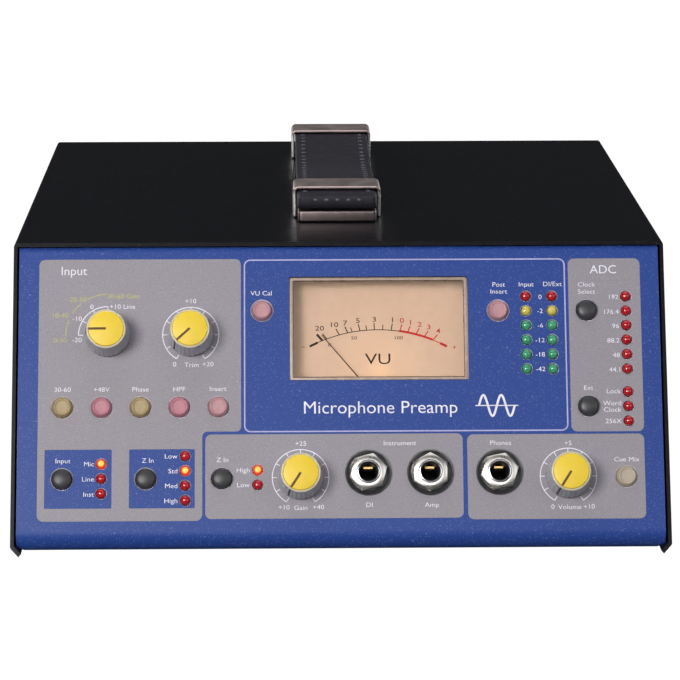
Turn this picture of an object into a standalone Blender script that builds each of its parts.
"""Desktop microphone preamp: sloping front panel with controls and a VU meter, folded steel cover,
strap handle on top, sockets at the rear, circuit boards and transformers inside.

Sizes in the constants are millimetres. The origin is at the centre of the footprint, on the surface
that the feet stand on. +X is to the right, the front faces -Y, +Z is up.
"""
import math

import bmesh
import bpy
from mathutils import Matrix

MM = 0.001

# ---------------------------------------------------------------- driving dimensions
WIDTH = 220.0                       # over the cover's sides
HEIGHT = 102.9                      # ground to the top of the cover
TOP_DEPTH = 207.6                   # top of the cover, front edge to rear edge
FACE_LENGTH = 104.75                # slanted front, bottom line to top edge
LEAN = math.radians(24.75)          # the front leans back from the vertical
SHEET = 1.0                         # cover and tray
PANEL_SHEET = 1.5
GAP = 0.3                           # between pieces that touch
KNOB_RADIUS, KNOB_RIM = 7.6, 6.7    # at the foot and at the top
KNOB_HEIGHT = 10.7
LOW_KNOB_V = 23.9                   # height of the lower knobs on the slanted face
ROCKER_HALF, ROCKER_LIP = 7.6, 5.7  # half height, and pivot to the raised ends
ROCKER_PIVOT = -3.2                 # behind the rear panel's face
ROCKER_TILT = math.radians(9.0)

SIN, COS = math.sin(LEAN), math.cos(LEAN)
FACE_Z = HEIGHT - FACE_LENGTH * COS                 # bottom line of the face
FACE_DEPTH = FACE_LENGTH * SIN
REAR_FACE = FACE_DEPTH + TOP_DEPTH - 0.8            # rear panel's outer face, from the bottom line
REAR_REACH = ROCKER_PIVOT + math.hypot(ROCKER_HALF, ROCKER_LIP) * math.sin(
    math.atan2(ROCKER_LIP, ROCKER_HALF) + ROCKER_TILT)
FRONT_REACH = (LOW_KNOB_V - KNOB_RIM) * SIN - KNOB_HEIGHT * COS
FACE_Y = -(REAR_FACE + REAR_REACH + FRONT_REACH) / 2
REAR_Y = FACE_Y + REAR_FACE
TOP_FRONT_Y = FACE_Y + FACE_DEPTH
TRAY_BOTTOM = FACE_Z - 0.91                         # underside of the tray and the panel's lower lip
HALF = WIDTH / 2

# ---------------------------------------------------------------- layout on the slanted face (u, v)
KNOBS = {
    "mic_gain": (-78.1, 72.7),
    "trim": (-50.2, 72.7),
    "di_gain": (-13.5, LOW_KNOB_V),
    "volume": (76.0, LOW_KNOB_V),
}
LIT_ROW = ("gain_range", "phantom", "phase", "filter", "insert")
LIT_ROW_U, LIT_ROW_V, LIT_PITCH = -93.1, 48.0, 13.05
LIT_RADIUS, BLACK_RADIUS = 3.15, 3.6
BUTTON_PROUD = 2.4
BUTTONS = {name: (LIT_ROW_U + i * LIT_PITCH, LIT_ROW_V, LIT_RADIUS) for i, name in enumerate(LIT_ROW)}
BUTTONS.update({
    "vu_cal": (-26.2, 80.9, LIT_RADIUS),
    "post_insert": (53.5, 80.6, LIT_RADIUS),
    "cue_mix": (95.5, 23.7, LIT_RADIUS),
    "input_select": (-93.1, 23.7, BLACK_RADIUS),
    "mic_impedance": (-65.2, 23.7, BLACK_RADIUS),
    "di_impedance": (-39.8, 23.7, BLACK_RADIUS),
    "clock_select": (83.4, 80.6, BLACK_RADIUS),
    "clock_external": (83.4, 47.7, BLACK_RADIUS),
})
LED_PITCH = 5.0
LED_RADIUS = 1.6
LED_COLUMNS = {                     # lamp columns: u, top v, count
    "source": [(-80.0, 28.8, 3)],
    "mic_impedance": [(-52.0, 31.4, 4)],
    "di_impedance": [(-27.8, 26.5, 2)],
    "meter": [(62.9, 85.5, 6), (71.7, 85.5, 6)],
    "converter": [(96.8, 85.4, 6), (96.8, 52.6, 3)],
}
JACKS = {"di": (9.1, 25.4, 15.0), "amp": (29.8, 25.4, 30.0), "phones": (52.9, 25.4, 12.0)}
JACK_BORE = 3.25
VU_WINDOW = (-16.4, 43.4, 56.9, 92.4)               # u and v limits
VU_PIVOT = (13.8, 50.1)
VU_REST_ANGLE = math.radians(37.5)                  # needle on its left stop

# ---------------------------------------------------------------- rear panel (a to the right, b up)
REAR_JACKS_A = [-10.0 + 20.0 * i for i in range(6)]
REAR_JACKS_B = 78.0
XLRS = {"main_out_xlr": (-38.0, 34.0), "di_out_xlr": (-8.0, 34.0), "mic_in_xlr": (86.0, 34.0)}
INLET = (-84.0, 48.0)
XLR_HOLE = 12.0
ROCKER_UP = 13.25                                   # rocker above the inlet module's centre
SOCKET_DOWN = -10.5

# ---------------------------------------------------------------- handle
CAP_WIDTH, CAP_HEIGHT, CAP_DEPTH, CAP_SHEET = 30.8, 11.3, 16.5, 1.2
CAP_FRONT = 42.5                                    # behind the cover's top front edge
BASE_WIDTH, BASE_HEIGHT, BASE_LEAD = 27.4, 4.0, 8.3
HANDLE_MIDDLE = 112.2
STRAP_WIDTH, STRAP_THICK, STRAP_TOP, STRAP_SAG = 27.6, 4.0, 9.8, 2.0
STRAP_HALF = HANDLE_MIDDLE - CAP_FRONT + BASE_LEAD + 0.5
NOSE_LENGTH, NOSE_THICK = 18.0, 5.5                 # rolled ends of the strap


# ---------------------------------------------------------------- scene helpers
def clear_scene():
    for obj in list(bpy.data.objects):
        bpy.data.objects.remove(obj, do_unlink=True)


def make_collection(name):
    collection = bpy.data.collections.new(name)
    bpy.context.scene.collection.children.link(collection)
    return collection


clear_scene()
PARTS = make_collection("microphone_preamp")
CUTTERS = make_collection("cutters")


def finish(name, colour, roughness, metallic=0.0):
    """A plain material; one per sub-part."""
    material = bpy.data.materials.new(name)
    material.use_nodes = True
    shader = material.node_tree.nodes["Principled BSDF"]
    shader.inputs["Base Color"].default_value = (*colour, 1.0)
    shader.inputs["Roughness"].default_value = roughness
    shader.inputs["Metallic"].default_value = metallic
    material.diffuse_color = (*colour, 1.0)
    return material


BLACK_PAINT = ((0.02, 0.02, 0.025), 0.35)
BLUE_PAINT = ((0.03, 0.07, 0.32), 0.45)
RUBBER = ((0.03, 0.03, 0.03), 0.8)
CHROME = ((0.8, 0.8, 0.82), 0.15, 1.0)
STEEL = ((0.55, 0.55, 0.56), 0.35, 1.0)
GREY_PLASTIC = ((0.3, 0.28, 0.3), 0.5)
BLACK_PLASTIC = ((0.02, 0.02, 0.02), 0.45)
YELLOW = ((0.95, 0.72, 0.05), 0.45)
CREAM = ((0.75, 0.6, 0.42), 0.7)
PINK = ((0.6, 0.35, 0.38), 0.4)
RED_LAMP = ((0.6, 0.02, 0.03), 0.25)
BOARD_GREEN = ((0.03, 0.2, 0.08), 0.5)
GLASS = ((0.85, 0.9, 0.9), 0.05)


def new_frame(name, location, rotation):
    """An empty that a group of pieces is placed on."""
    empty = bpy.data.objects.new(name, None)
    PARTS.objects.link(empty)
    empty.location = [value * MM for value in location]
    empty.rotation_euler = rotation
    return empty


FACE = new_frame("face_frame", (0.0, FACE_Y, FACE_Z), (math.radians(90) - LEAN, 0.0, 0.0))
REAR = new_frame("rear_frame", (0.0, REAR_Y, 0.0), (math.radians(90), 0.0, math.radians(180)))


def add_object(name, mesh, at=(0.0, 0.0, 0.0), frame=None, turn=0.0, look=None):
    """Put a mesh in the scene, at a place (mm) on a frame, turned about the frame's normal."""
    obj = bpy.data.objects.new(name, mesh)
    (CUTTERS if look is None else PARTS).objects.link(obj)
    obj.parent = frame
    obj.location = [value * MM for value in at]
    obj.rotation_euler = (0.0, 0.0, turn)
    if look is None:
        obj.hide_render = True
        obj.display_type = "WIRE"
    else:
        mesh.materials.append(finish(name, *look))
    return obj


def mesh_from(bm, name):
    mesh = bpy.data.meshes.new(name)
    bm.to_mesh(mesh)
    bm.free()
    return mesh


def add_block(bm, x, y, z):
    """A box between the limits of x, y and z."""
    spans = (x, y, z)
    centre = [MM * (low + high) / 2 for low, high in spans]
    size = [MM * (high - low) for low, high in spans]
    matrix = Matrix.Translation(centre) @ Matrix.Diagonal((*size, 1.0))
    bmesh.ops.create_cube(bm, size=1.0, matrix=matrix)


def add_rod(bm, radius, centre, z, sides=16, turn=0.0, top_radius=None):
    """A cylinder or cone along Z between the limits of z."""
    matrix = Matrix.Translation((centre[0] * MM, centre[1] * MM, MM * (z[0] + z[1]) / 2))
    matrix @= Matrix.Rotation(turn, 4, "Z")
    bmesh.ops.create_cone(bm, cap_ends=True, segments=sides, radius1=radius * MM,
                          radius2=(radius if top_radius is None else top_radius) * MM,
                          depth=(z[1] - z[0]) * MM, matrix=matrix)


def solids(*pieces):
    """One mesh from block and rod descriptions: each is (function, arguments...)."""
    bm = bmesh.new()
    for piece in pieces:
        piece[0](bm, *piece[1:])
    return mesh_from(bm, "solids")


def boolean(obj, other, operation):
    modifier = obj.modifiers.new(operation.lower(), "BOOLEAN")
    modifier.operation = operation
    modifier.solver = "EXACT"
    modifier.object = other


def cut(obj, mesh, **place):
    boolean(obj, add_object(obj.name + "_cut", mesh, **place), "DIFFERENCE")


def join(obj, mesh, **place):
    boolean(obj, add_object(obj.name + "_add", mesh, **place), "UNION")


def fillet(corners, radii, steps=3):
    """A polyline with each inner corner rounded by an arc of its radius."""
    points = [corners[0]]
    for i, radius in enumerate(radii, start=1):
        (ax, ay), (bx, by), (cx, cy) = corners[i - 1:i + 2]
        back = math.atan2(ay - by, ax - bx)
        onward = math.atan2(cy - by, cx - bx)
        half = ((onward - back + math.pi) % (2 * math.pi) - math.pi) / 2
        reach = radius / math.tan(abs(half))
        middle = back + half
        distance = radius / math.sin(abs(half))
        ox, oy = bx + distance * math.cos(middle), by + distance * math.sin(middle)
        start = math.atan2(by + reach * math.sin(back) - oy, bx + reach * math.cos(back) - ox)
        end = math.atan2(by + reach * math.sin(onward) - oy, bx + reach * math.cos(onward) - ox)
        sweep = (end - start + math.pi) % (2 * math.pi) - math.pi
        for step in range(steps + 1):
            angle = start + sweep * step / steps
            points.append((ox + radius * math.cos(angle), oy + radius * math.sin(angle)))
    points.append(corners[-1])
    return points


def sweep_outline(points, axis, limits):
    """An open sheet: a polyline in the plane across an axis, drawn out along that axis."""
    bm = bmesh.new()
    low, high = (value * MM for value in limits)
    if axis == "Y":
        row = [bm.verts.new((p * MM, low, q * MM)) for p, q in points]
        shift = (0.0, high - low, 0.0)
    else:
        row = [bm.verts.new((low, p * MM, q * MM)) for p, q in points]
        shift = (high - low, 0.0, 0.0)
    edges = [bm.edges.new(pair) for pair in zip(row, row[1:])]
    drawn = bmesh.ops.extrude_edge_only(bm, edges=edges)["geom"]
    moved = [item for item in drawn if isinstance(item, bmesh.types.BMVert)]
    bmesh.ops.translate(bm, verts=moved, vec=shift)
    return bm


def thicken(obj, thickness):
    """Sheet metal: the drawn surface is the outside."""
    modifier = obj.modifiers.new("sheet", "SOLIDIFY")
    modifier.thickness = thickness * MM
    modifier.offset = -1.0
    modifier.use_even_offset = True


def mirror_x(obj):
    modifier = obj.modifiers.new("mirror", "MIRROR")
    modifier.use_axis = (True, False, False)
    modifier.merge_threshold = 0.00001


def face_outwards(bm, direction, sample):
    """Flip the sheet if the normal of its face nearest to a sample point disagrees."""
    bmesh.ops.recalc_face_normals(bm, faces=bm.faces[:])
    target = [value * MM for value in sample]
    near = min(bm.faces, key=lambda f: sum((a - b) ** 2 for a, b in zip(f.calc_center_median(), target)))
    if sum(a * b for a, b in zip(near.normal, direction)) < 0:
        bmesh.ops.reverse_faces(bm, faces=bm.faces[:])


def turned(name, profile, look, at=(0.0, 0.0, 0.0), frame=None, steps=20, turn=0.0):
    """A turned piece about Z: the profile (radius, height) runs from the top to the bottom."""
    bm = bmesh.new()
    verts = [bm.verts.new((radius * MM, 0.0, height * MM)) for radius, height in profile]
    for pair in zip(verts, verts[1:]):
        bm.edges.new(pair)
    if profile[0] == profile[-1]:
        bmesh.ops.remove_doubles(bm, verts=verts, dist=0.000001)
    obj = add_object(name, mesh_from(bm, name), at, frame, turn, look)
    modifier = obj.modifiers.new("turn", "SCREW")
    modifier.steps = steps
    modifier.render_steps = steps
    modifier.use_merge_vertices = True
    modifier.merge_threshold = 0.00001
    modifier.use_smooth_shade = True
    return obj


def outline_solid(points, thickness):
    """A flat outline in XY, extruded evenly about Z = 0, as a closed mesh."""
    curve = bpy.data.curves.new("outline", "CURVE")
    curve.dimensions = "2D"
    curve.fill_mode = "BOTH"
    curve.extrude = thickness * MM / 2
    spline = curve.splines.new("POLY")
    spline.points.add(len(points) - 1)
    spline.use_cyclic_u = True
    for point, (x, y) in zip(spline.points, points):
        point.co = (x * MM, y * MM, 0.0, 1.0)
    temporary = bpy.data.objects.new("outline", curve)
    bpy.context.scene.collection.objects.link(temporary)
    evaluated = temporary.evaluated_get(bpy.context.evaluated_depsgraph_get())
    mesh = bpy.data.meshes.new_from_object(evaluated)
    bpy.data.objects.remove(temporary)
    bm = bmesh.new()
    bm.from_mesh(mesh)
    bmesh.ops.remove_doubles(bm, verts=bm.verts[:], dist=0.000001)
    bmesh.ops.recalc_face_normals(bm, faces=bm.faces[:])
    bm.to_mesh(mesh)
    bm.free()
    return mesh


# ---------------------------------------------------------------- enclosure
def top_cover():
    hem_turn = HALF, FACE_Z + 0.8
    hem_tip = HALF - 2.8, FACE_Z - 2.0
    outline = fillet([hem_tip, hem_turn, (HALF, HEIGHT), (0.0, HEIGHT)], [1.6, 2.6])
    bm = sweep_outline(outline, "Y", (FACE_Y - 6.0, REAR_Y + 0.8))
    face_outwards(bm, (0, 0, 1), (20.0, 0.0, HEIGHT))
    cover = add_object("top_cover", mesh_from(bm, "top_cover"), look=BLACK_PAINT)
    mirror_x(cover)
    thicken(cover, SHEET)
    cut(cover, solids((add_block, (-140, 140), (-40, 140), (0.5, 60))), frame=FACE)


def chassis_tray():
    side = HALF - SHEET - 0.8
    outline = fillet([(side, 24.0), (side, TRAY_BOTTOM + 3.2), (side - 3.2, TRAY_BOTTOM), (0.0, TRAY_BOTTOM)],
                     [0.8, 0.8], 1)
    bm = sweep_outline(outline, "Y", (FACE_Y + 16.0, REAR_Y - 0.3))
    face_outwards(bm, (0, 0, -1), (20.0, 0.0, TRAY_BOTTOM))
    tray = add_object("chassis_tray", mesh_from(bm, "chassis_tray"), look=STEEL)
    mirror_x(tray)
    thicken(tray, SHEET)
    wall = (REAR_Y - 1.6, REAR_Y)
    join(tray, solids((add_block, (0.1 - side, side - 0.1), wall, (TRAY_BOTTOM + 3.6, HEIGHT - 1.6))))
    join(tray, solids((add_block, (3.4 - side, side - 3.4), wall, (TRAY_BOTTOM + 0.2, TRAY_BOTTOM + 4.0))))
    through = (-6.0, 6.0)
    holes = [(add_rod, 5.0, (a, REAR_JACKS_B), through, 16) for a in REAR_JACKS_A]
    holes += [(add_rod, XLR_HOLE + GAP, centre, through, 24) for centre in XLRS.values()]
    inlet_a, inlet_b = INLET
    holes.append((add_block, (inlet_a - 14.2, inlet_a + 14.2), (inlet_b - 23.7, inlet_b + 23.7), through))
    cut(tray, solids(*holes), frame=REAR)


def front_panel():
    side = HALF - SHEET - 0.9
    top_z = HEIGHT - SHEET - 0.8
    top_v = (top_z - FACE_Z) / COS
    low_v = (TRAY_BOTTOM - FACE_Z) / COS

    def on_face(v):
        return FACE_Y + v * SIN, FACE_Z + v * COS

    top_corner = on_face(top_v)
    low_corner = on_face(low_v)
    outline = fillet([(top_corner[0] + 9.0, top_z), top_corner, low_corner, (FACE_Y + 15.6, TRAY_BOTTOM)],
                     [2.2, 3.7], 4)
    bm = sweep_outline(outline, "X", (-side, side))
    face_outwards(bm, (0, -1, 0), (0.0, *on_face(50.0)))
    panel = add_object("front_panel", mesh_from(bm, "front_panel"), look=BLUE_PAINT)
    thicken(panel, PANEL_SHEET)
    through = (-4.0, 4.0)
    holes = [(add_rod, 3.9, centre, through) for centre in KNOBS.values()]
    holes += [(add_rod, 4.1, (u, v), through) for u, v, _ in JACKS.values()]
    holes += [(add_rod, radius + 0.35, (u, v), through, 12) for u, v, radius in BUTTONS.values()]
    for columns in LED_COLUMNS.values():
        for u, v, count in columns:
            holes += [(add_rod, LED_RADIUS + GAP, (u, v - i * LED_PITCH), through, 8) for i in range(count)]
    left, right, low, high = VU_WINDOW
    holes.append((add_block, (left, right), (low, high), through))
    cut(panel, solids(*holes), frame=FACE)
    clear_of_hem = HALF - FACE_Z - 0.8 - 1.42 - 0.45          # x - z along the chamfer
    corner_low, corner_high = TRAY_BOTTOM - 2.0, TRAY_BOTTOM + 5.0
    for sign in (-1, 1):
        chamfer = outline_solid([(sign * (corner_low + clear_of_hem), corner_low),
                                 (sign * (corner_high + clear_of_hem), corner_low),
                                 (sign * (corner_high + clear_of_hem), corner_high)], 60.0)
        chamfer.transform(Matrix.Rotation(math.radians(90), 4, "X"))
        cut(panel, chamfer, at=(0.0, FACE_Y + 10.0, 0.0))


def feet():
    profile = [(0.0, TRAY_BOTTOM - GAP), (8.6, TRAY_BOTTOM - GAP), (9.0, 1.2), (8.2, 0.0), (0.0, 0.0)]
    for name_y, y in (("front", FACE_Y + 52.0), ("rear", FACE_Y + 226.0)):
        for name_x, x in (("left", -86.0), ("right", 86.0)):
            turned(f"foot_{name_y}_{name_x}", profile, RUBBER, (x, y, 0.0), steps=20)


# ---------------------------------------------------------------- handle
def handle_cap(name, sign):
    """Inverted U of chromed sheet over a base block; sign +1 is the front one."""
    centre_y = TOP_FRONT_Y + HANDLE_MIDDLE
    outer = HANDLE_MIDDLE - CAP_FRONT
    half = CAP_WIDTH / 2
    top = HEIGHT + CAP_HEIGHT
    foot = HEIGHT + GAP
    outline = fillet([(half, foot), (half, top), (0.0, top)], [1.8])
    bm = sweep_outline(outline, "Y", sorted((-sign * outer, -sign * (outer - CAP_DEPTH))))
    face_outwards(bm, (0, 0, 1), (5.0, -sign * outer, top))
    cap = add_object(name, mesh_from(bm, name), (0.0, centre_y, 0.0), look=CHROME)
    mirror_x(cap)
    thicken(cap, CAP_SHEET)
    lead = sorted((-sign * (outer + BASE_LEAD), -sign * (outer - CAP_DEPTH + 0.5)))
    base_half = BASE_WIDTH / 2
    join(cap, solids((add_block, (-base_half, base_half), lead, (foot, HEIGHT + BASE_HEIGHT))),
         at=(0.0, centre_y, 0.0))
    tie = sorted((-sign * (outer - 2.0), -sign * (outer - CAP_DEPTH + 2.0)))
    join(cap, solids((add_block, (0.6 - half, half - 0.6), tie, (foot + 0.3, HEIGHT + 3.0))),
         at=(0.0, centre_y, 0.0))


def handle_strap():
    cuts = 13
    bm = bmesh.new()
    bottom = HEIGHT + STRAP_TOP - STRAP_THICK
    half = STRAP_WIDTH / 2
    add_block(bm, (-half, half), (-STRAP_HALF, STRAP_HALF), (bottom, bottom + STRAP_THICK))
    long_edges = [e for e in bm.edges if abs(e.verts[0].co.y - e.verts[1].co.y) > STRAP_HALF * MM]
    bmesh.ops.subdivide_edges(bm, edges=long_edges, cuts=cuts, use_grid_fill=True)
    free = STRAP_HALF - CAP_DEPTH - 10.0
    for vert in bm.verts:
        reach = min(abs(vert.co.y) / (free * MM), 1.0)
        vert.co.z -= STRAP_SAG * MM * (0.5 + 0.5 * math.cos(math.pi * reach))
    strap = add_object("handle_strap", mesh_from(bm, "handle_strap"),
                       (0.0, TOP_FRONT_Y + HANDLE_MIDDLE, 0.0), look=RUBBER)
    nose = (bottom + STRAP_THICK - NOSE_THICK, bottom + STRAP_THICK - 1.0)
    ends = [(add_block, (-half, half), sorted((sign * STRAP_HALF, sign * (STRAP_HALF - NOSE_LENGTH))), nose)
            for sign in (-1, 1)]
    join(strap, solids(*ends), at=(0.0, TOP_FRONT_Y + HANDLE_MIDDLE, 0.0))
    bevel = strap.modifiers.new("edges", "BEVEL")
    bevel.width = 1.2 * MM
    bevel.segments = 2
    bevel.limit_method = "ANGLE"
    bevel.angle_limit = math.radians(50)


# ---------------------------------------------------------------- front controls
def knobs():
    body = [(0.0, 9.3), (6.25, 9.3), (6.25, KNOB_HEIGHT), (KNOB_RIM, KNOB_HEIGHT), (KNOB_RADIUS, 0.9),
            (2.5, 0.9), (2.5, -12.0), (0.0, -12.0)]
    cap = [(0.0, 11.2), (5.6, 11.2), (5.95, 10.85), (5.95, 9.6), (0.0, 9.6)]
    for name, (u, v) in KNOBS.items():
        turned(name + "_knob", body, GREY_PLASTIC, (u, v, 0.0), FACE)
        turned(name + "_cap", cap, YELLOW, (u, v, 0.0), FACE)


def control_bodies():
    """Rotary switch behind the mic gain knob, potentiometers behind the others."""
    for name, (u, v) in KNOBS.items():
        if name == "mic_gain":
            mesh = solids((add_rod, 11.0, (0, 0), (-16.8, -2.2), 20))
        else:
            mesh = solids((add_block, (-6.5, 6.5), (-6.5, 6.5), (-16.8, -2.2)))
        kind = "_switch" if name == "mic_gain" else "_pot"
        control = add_object(name + kind, mesh, (u, v, 0.0), FACE, look=STEEL)
        join(control, solids((add_rod, 3.5, (0, 0), (-4.0, 0.5))), at=(u, v, 0.0), frame=FACE)
        cut(control, solids((add_rod, 2.85, (0, 0), (-12.5, 2.0))), at=(u, v, 0.0), frame=FACE)


def buttons():
    for name, (u, v, radius) in BUTTONS.items():
        profile = [(0.0, BUTTON_PROUD), (radius - 0.4, BUTTON_PROUD), (radius, BUTTON_PROUD - 0.4),
                   (radius, -2.0), (radius + 1.0, -2.0), (radius + 1.0, -3.2), (1.6, -3.2), (1.6, -9.6),
                   (0.0, -9.6)]
        look = PINK if radius == LIT_RADIUS else BLACK_PLASTIC
        turned(name + "_button", profile, look, (u, v, 0.0), FACE, steps=12)


def lamp_bars():
    for name, columns in LED_COLUMNS.items():
        us = [column[0] for column in columns]
        top = max(column[1] for column in columns)
        low = min(v - (count - 1) * LED_PITCH for _, v, count in columns)
        span_u = (min(us) - 2.3, max(us) + 2.3)
        bar = add_object(name + "_lamps", solids((add_block, span_u, (low - 2.3, top + 2.3), (-16.8, -3.0))),
                         frame=FACE, look=RED_LAMP)
        lamps = [(add_rod, LED_RADIUS, (u, v - i * LED_PITCH), (-4.0, 0.4), 8)
                 for u, v, count in columns for i in range(count)]
        join(bar, solids(*lamps), frame=FACE)


def front_jacks():
    for name, (u, v, turn) in JACKS.items():
        body = add_object(name + "_jack", solids((add_block, (-7.5, 7.5), (-7.5, 7.5), (-27.0, -2.0))),
                          (u, v, 0.0), FACE, look=BLACK_PLASTIC)
        join(body, solids((add_rod, 3.75, (0, 0), (-5.0, 2.9), 20)), at=(u, v, 0.0), frame=FACE)
        cut(body, solids((add_rod, JACK_BORE, (0, 0), (-22.0, 5.0), 20)), at=(u, v, 0.0), frame=FACE)
        angle = math.radians(turn)
        nut = add_object(name + "_jack_nut", solids((add_rod, 7.75, (0, 0), (GAP, 1.3), 24, 0.0, 7.2)),
                         (u, v, 0.0), FACE, angle, CHROME)
        join(nut, solids((add_rod, 6.35, (0, 0), (0.8, 3.0), 6)), at=(u, v, 0.0), frame=FACE, turn=angle)
        cut(nut, solids((add_rod, 4.05, (0, 0), (-2.0, 5.0), 20)), at=(u, v, 0.0), frame=FACE)


# ---------------------------------------------------------------- VU meter
def vu_meter():
    left, right, low, high = VU_WINDOW
    u_span, v_span = (left - 3.0, right + 3.0), (VU_PIVOT[1] - 6.0, high + 3.0)
    inner_u, inner_v = (u_span[0] + 1.5, u_span[1] - 1.5), (v_span[0] + 1.5, v_span[1] - 1.5)
    case = add_object("vu_case", solids((add_block, u_span, v_span, (-27.0, -3.9))), frame=FACE,
                      look=BLACK_PLASTIC)
    cut(case, solids((add_block, inner_u, inner_v, (-25.5, 0.0))), frame=FACE)
    join(case, solids((add_rod, 9.0, (VU_PIVOT[0], VU_PIVOT[1] + 5.0), (-26.0, -14.0), 16)), frame=FACE)
    pane = (u_span[0], u_span[1]), v_span, (-3.6, -2.0)
    add_object("vu_glass", solids((add_block, *pane)), frame=FACE, look=GLASS)
    dial_u, dial_v = (inner_u[0] + GAP, inner_u[1] - GAP), (inner_v[0] + GAP, inner_v[1] - GAP)
    dial = add_object("vu_dial", solids((add_block, dial_u, dial_v, (-9.0, -8.2))), frame=FACE, look=CREAM)
    cut(dial, solids((add_rod, 1.9, VU_PIVOT, (-12.0, -5.0), 16)), frame=FACE)
    needle_mesh = solids((add_rod, 1.5, (0, 0), (-13.0, -5.6), 12))
    needle = add_object("vu_needle", needle_mesh, (*VU_PIVOT, 0.0), FACE, VU_REST_ANGLE, BLACK_PLASTIC)
    blade = solids((add_block, (-0.3, 0.3), (-4.0, 31.0), (-6.6, -6.2)))
    join(needle, blade, at=(*VU_PIVOT, 0.0), frame=FACE, turn=VU_REST_ANGLE)


# ---------------------------------------------------------------- rear connectors
def rear_sockets():
    ends = (REAR_JACKS_A[0] - 8.0, REAR_JACKS_A[-1] + 8.0)
    span_b = (REAR_JACKS_B - 7.0, REAR_JACKS_B + 7.0)
    block = add_object("rear_jack_block", solids((add_block, ends, span_b, (-18.0, -2.0))), frame=REAR,
                       look=BLACK_PLASTIC)
    bushings = [(add_rod, 4.6, (a, REAR_JACKS_B), (-5.0, 2.6), 16) for a in REAR_JACKS_A]
    bores = [(add_rod, JACK_BORE, (a, REAR_JACKS_B), (-16.0, 5.0), 12) for a in REAR_JACKS_A]
    join(block, solids(*bushings), frame=REAR)
    cut(block, solids(*bores), frame=REAR)


def xlr_sockets():
    pins = [(5.0, 0.0), (-5.0, 0.0), (0.0, 5.0)]
    for name, (a, b) in XLRS.items():
        place = {"at": (a, b, 0.0), "frame": REAR}
        flange = solids((add_block, (-13, 13), (-15.5, 15.5), (GAP, 2.2)))
        shell = add_object(name, flange, look=BLACK_PLASTIC, **place)
        join(shell, solids((add_rod, XLR_HOLE - 0.2, (0, 0), (-18.0, 1.0), 24)), **place)
        cut(shell, solids((add_rod, 9.6, (0, 0), (-14.0, 5.0), 24)), **place)
        if name == "mic_in_xlr":
            join(shell, solids((add_rod, 7.3, (0, 0), (-15.0, 1.2), 20)), **place)
            cut(shell, solids(*[(add_rod, 1.5, pin, (-11.0, 5.0), 10) for pin in pins]), **place)
        else:
            join(shell, solids(*[(add_rod, 1.2, pin, (-15.0, -1.0), 10) for pin in pins]), **place)


def mains_inlet():
    a, b = INLET
    place = {"at": (a, b, 0.0), "frame": REAR}
    bezel = solids((add_block, (-15.5, 15.5), (-25, 25), (GAP, 1.8)))
    inlet = add_object("mains_inlet", bezel, look=BLACK_PLASTIC, **place)
    join(inlet, solids((add_block, (-13.75, 13.75), (-23.25, 23.25), (-22.0, 1.0))), **place)
    socket = (add_block, (-12.2, 12.2), (SOCKET_DOWN - 8.2, SOCKET_DOWN + 8.2), (-17.0, 5.0))
    well = (add_block, (-6.6, 6.6), (ROCKER_UP - 8.85, ROCKER_UP + 8.85), (-13.0, 5.0))
    cut(inlet, solids(socket, well), **place)
    places = [(0.0, SOCKET_DOWN + 3.0), (-7.0, SOCKET_DOWN - 1.5), (7.0, SOCKET_DOWN - 1.5)]
    blades = [(add_block, (x - 1, x + 1), (y - 2, y + 2), (-18.0, -1.0)) for x, y in places]
    join(inlet, solids(*blades), **place)


def power_rocker():
    """Shallow V shape, pivoted on its cross axis; at rest its lower half is pressed in."""
    half, lip = ROCKER_HALF, ROCKER_LIP
    profile = [(-half, lip), (0.0, lip - 1.3), (half, lip), (half + 0.2, 2.0), (4.5, -2.5), (-4.5, -2.5),
               (-half - 0.2, 2.0)]
    mesh = outline_solid(profile, 12.4)
    upright = Matrix.Rotation(math.radians(90), 4, "Y") @ Matrix.Rotation(math.radians(90), 4, "Z")
    mesh.transform(Matrix.Rotation(ROCKER_TILT, 4, "X") @ upright)
    a, b = INLET
    add_object("power_rocker", mesh, (a, b + ROCKER_UP, ROCKER_PIVOT), REAR, look=BLACK_PLASTIC)


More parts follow.
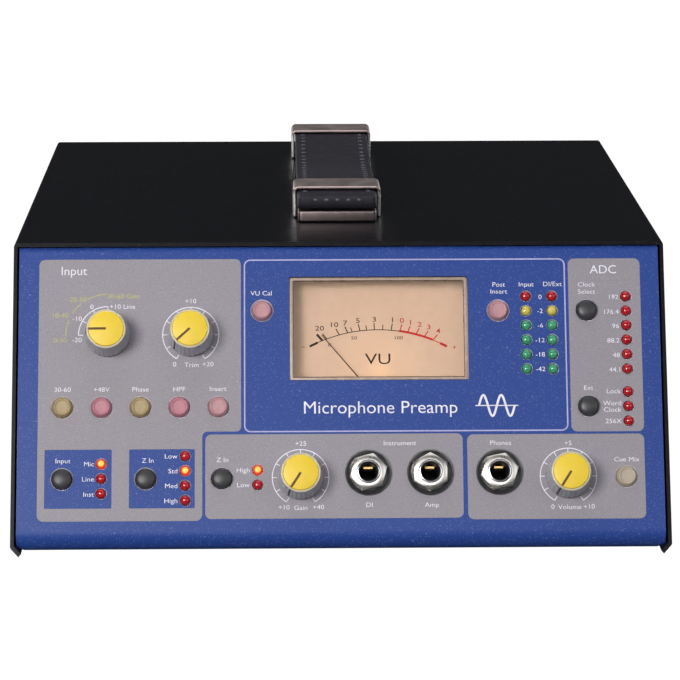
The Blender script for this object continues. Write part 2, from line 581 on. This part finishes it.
# ---------------------------------------------------------------- inside
def front_board():
    board = (-18.9, -17.3)
    plate = add_object("front_board", solids((add_block, (-101, 101), (12, 94), board)), frame=FACE,
                       look=BOARD_GREEN)
    switches = [(add_block, (u - 3.2, u + 3.2), (v - 3.2, v + 3.2), (-18.0, -11.6))
                for u, v, _ in BUTTONS.values()]
    join(plate, solids(*switches), frame=FACE)
    left, right, _, high = VU_WINDOW
    around_jacks = (JACKS["di"][0] - 9.0, JACKS["phones"][0] + 9.0)
    cut(plate, solids((add_block, (left - 4.0, right + 4.0), (VU_PIVOT[1] - 7.0, high + 6.0), (-25, -12)),
                      (add_block, around_jacks, (16.0, 34.0), (-25, -12))), frame=FACE)


def main_board():
    low = TRAY_BOTTOM + SHEET + GAP
    board_z = (low + 8.0, low + 9.6)
    x, y = (-103.0, 14.0), (FACE_Y + 62.0, FACE_Y + 228.0)
    board = add_object("main_board", solids((add_block, x, y, board_z)), look=BOARD_GREEN)
    corners = [(px, py) for px in (x[0] + 6, x[1] - 6) for py in (y[0] + 6, y[1] - 6)]
    join(board, solids(*[(add_rod, 3.0, corner, (low, low + 8.5), 10) for corner in corners]))
    parts = [(add_rod, 5.0, (-90.0 + 16.0 * i, y[1] - 30.0), (low + 9.0, low + 28.0), 12) for i in range(5)]
    parts.append((add_block, (-96, -50), (y[0] + 60, y[0] + 64), (low + 9.0, low + 34.0)))
    join(board, solids(*parts))


def transformers():
    low = TRAY_BOTTOM + SHEET + GAP
    torus = [(12.0, low + 32.0), (35.0, low + 32.0), (38.0, low + 29.0), (38.0, low + 3.0), (35.0, low),
             (12.0, low), (12.0, low + 32.0)]
    turned("mains_transformer", torus, STEEL, (60.0, FACE_Y + 182.0, 0.0), steps=32)
    can = solids((add_block, (40, 68), (FACE_Y + 84, FACE_Y + 108), (low, low + 30.0)))
    add_object("mic_transformer", can, look=STEEL)


top_cover()
chassis_tray()
front_panel()
feet()
handle_cap("handle_cap_front", 1)
handle_cap("handle_cap_rear", -1)
handle_strap()
knobs()
control_bodies()
buttons()
lamp_bars()
front_jacks()
vu_meter()
rear_sockets()
xlr_sockets()
mains_inlet()
power_rocker()
front_board()
main_board()
transformers()
